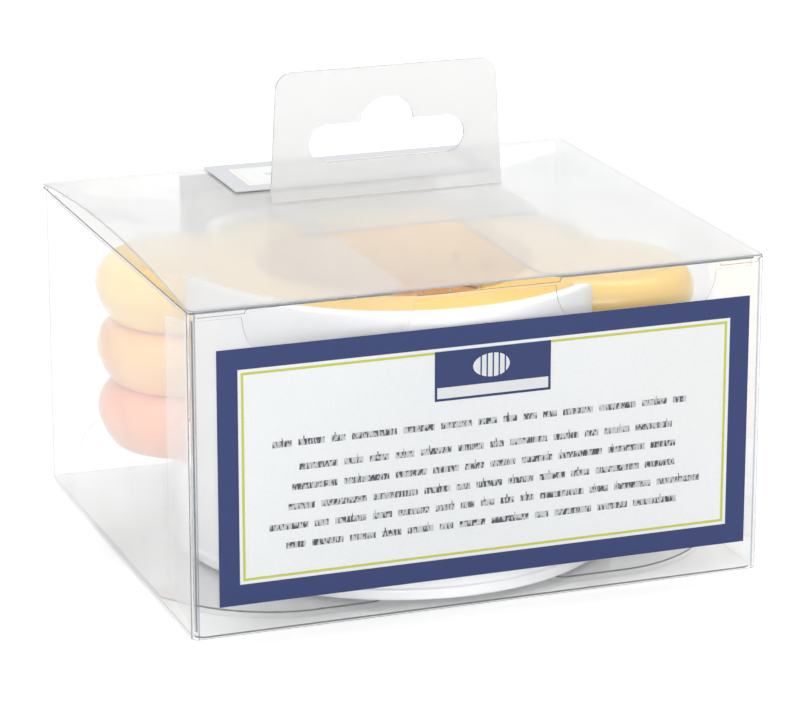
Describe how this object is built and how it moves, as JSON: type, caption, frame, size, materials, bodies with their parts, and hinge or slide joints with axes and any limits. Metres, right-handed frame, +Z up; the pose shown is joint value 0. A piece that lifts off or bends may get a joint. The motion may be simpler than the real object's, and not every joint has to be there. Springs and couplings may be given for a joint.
{
  "type": "boxed egg slicer",
  "caption": "Egg slicer with stacked wire inserts on a round base with an egg cup, in its clear folding carton with a hang tab, labels and a hinged lid.",
  "frame": {"origin": "middle of the carton's footprint, on the surface it stands on", "axes": "+Z up; +X along the width, to the right of the front label; +Y to the back, where the lid is hinged"},
  "size_m": [0.114, 0.101, 0.0893],
  "materials": {
    "clear_film": "clear polyester film, glossy",
    "milky_film": "milky polyester strip, satin",
    "label": "printed label, navy border",
    "white_plastic": "glossy moulded",
    "yellow_plastic": "glossy moulded",
    "orange_plastic": "glossy moulded",
    "coral_plastic": "glossy moulded",
    "steel_wire": "drawn stainless wire"
  },
  "bodies": {
    "carton": {"front_panel": "clear_film", "back_panel": "clear_film", "left_panel": "clear_film", "right_panel": "clear_film", "glue_flap": "clear_film", "bottom_panel": "clear_film", "bottom_tuck_flap": "clear_film", "bottom_dust_flap_left": "clear_film", "bottom_dust_flap_right": "clear_film", "front_label": "label", "back_label": "label", "base_drum": "white_plastic", "egg_cup": "white_plastic"},
    "lid": {"lid_panel": "clear_film", "lid_label": "label", "hang_tab_flange": "milky_film"},
    "tuck_flap": {"tuck_flap": "clear_film"},
    "hang_tab": {"hang_tab": "milky_film"},
    "dust_flap_left": {"dust_flap_left": "clear_film"},
    "dust_flap_right": {"dust_flap_right": "clear_film"},
    "slicing_insert": {"slicing_insert_upper_half": "yellow_plastic", "slicing_insert_lower_half": "yellow_plastic", "slicing_wire_1": "steel_wire", "slicing_wire_2": "steel_wire", "slicing_wire_3": "steel_wire", "slicing_wire_4": "steel_wire", "slicing_wire_5": "steel_wire", "slicing_wire_6": "steel_wire", "slicing_wire_7": "steel_wire"},
    "wedging_insert": {"wedging_insert_upper_half": "orange_plastic", "wedging_insert_lower_half": "orange_plastic", "wedging_wire_1": "steel_wire", "wedging_wire_2": "steel_wire", "wedging_wire_3": "steel_wire"},
    "halving_insert": {"halving_insert_upper_half": "coral_plastic", "halving_insert_lower_half": "coral_plastic", "halving_wire": "steel_wire"}
  },
  "joints": [
    {"name": "lid_hinge", "type": "hinge", "parent": "carton", "child": "lid", "pos_m": [0, 0.05, 0.06245], "axis": [-1, 0, 0], "range_deg": [0, 150]},
    {"name": "tuck_fold", "type": "hinge", "parent": "lid", "child": "tuck_flap", "pos_m": [0, -0.0478, 0.06245], "axis": [-1, 0, 0], "range_deg": [0, 40]},
    {"name": "tab_fold", "type": "hinge", "parent": "lid", "child": "hang_tab", "pos_m": [0.0055, 0.0175, 0.0633], "axis": [1, 0, 0], "range_deg": [-80, 80], "stiffness_Nm_per_rad": 0.002},
    {"name": "dust_flap_left_fold", "type": "hinge", "parent": "carton", "child": "dust_flap_left", "pos_m": [-0.0562, 0, 0.0614], "axis": [0, -1, 0], "range_deg": [0, 90]},
    {"name": "dust_flap_right_fold", "type": "hinge", "parent": "carton", "child": "dust_flap_right", "pos_m": [0.0562, 0, 0.0614], "axis": [0, 1, 0], "range_deg": [0, 90]},
    {"name": "slicing_insert_lift", "type": "slide", "parent": "carton", "child": "slicing_insert", "axis": [0, 0, 1], "range_m": [0, 0.0042]},
    {"name": "wedging_insert_lift", "type": "slide", "parent": "carton", "child": "wedging_insert", "axis": [0, 0, 1], "range_m": [0, 0.0042]},
    {"name": "halving_insert_lift", "type": "slide", "parent": "carton", "child": "halving_insert", "axis": [0, 0, 1], "range_m": [0, 0.0042]}
  ],
  "couplings": [
    {"joint": "tuck_fold", "follows": "lid_hinge", "ratio": 0.25},
    {"joint": "dust_flap_left_fold", "follows": "lid_hinge", "ratio": 0.6},
    {"joint": "dust_flap_right_fold", "follows": "lid_hinge", "ratio": 0.6},
    {"joint": "wedging_insert_lift", "follows": "slicing_insert_lift", "ratio": 1},
    {"joint": "halving_insert_lift", "follows": "slicing_insert_lift", "ratio": 1}
  ]
}
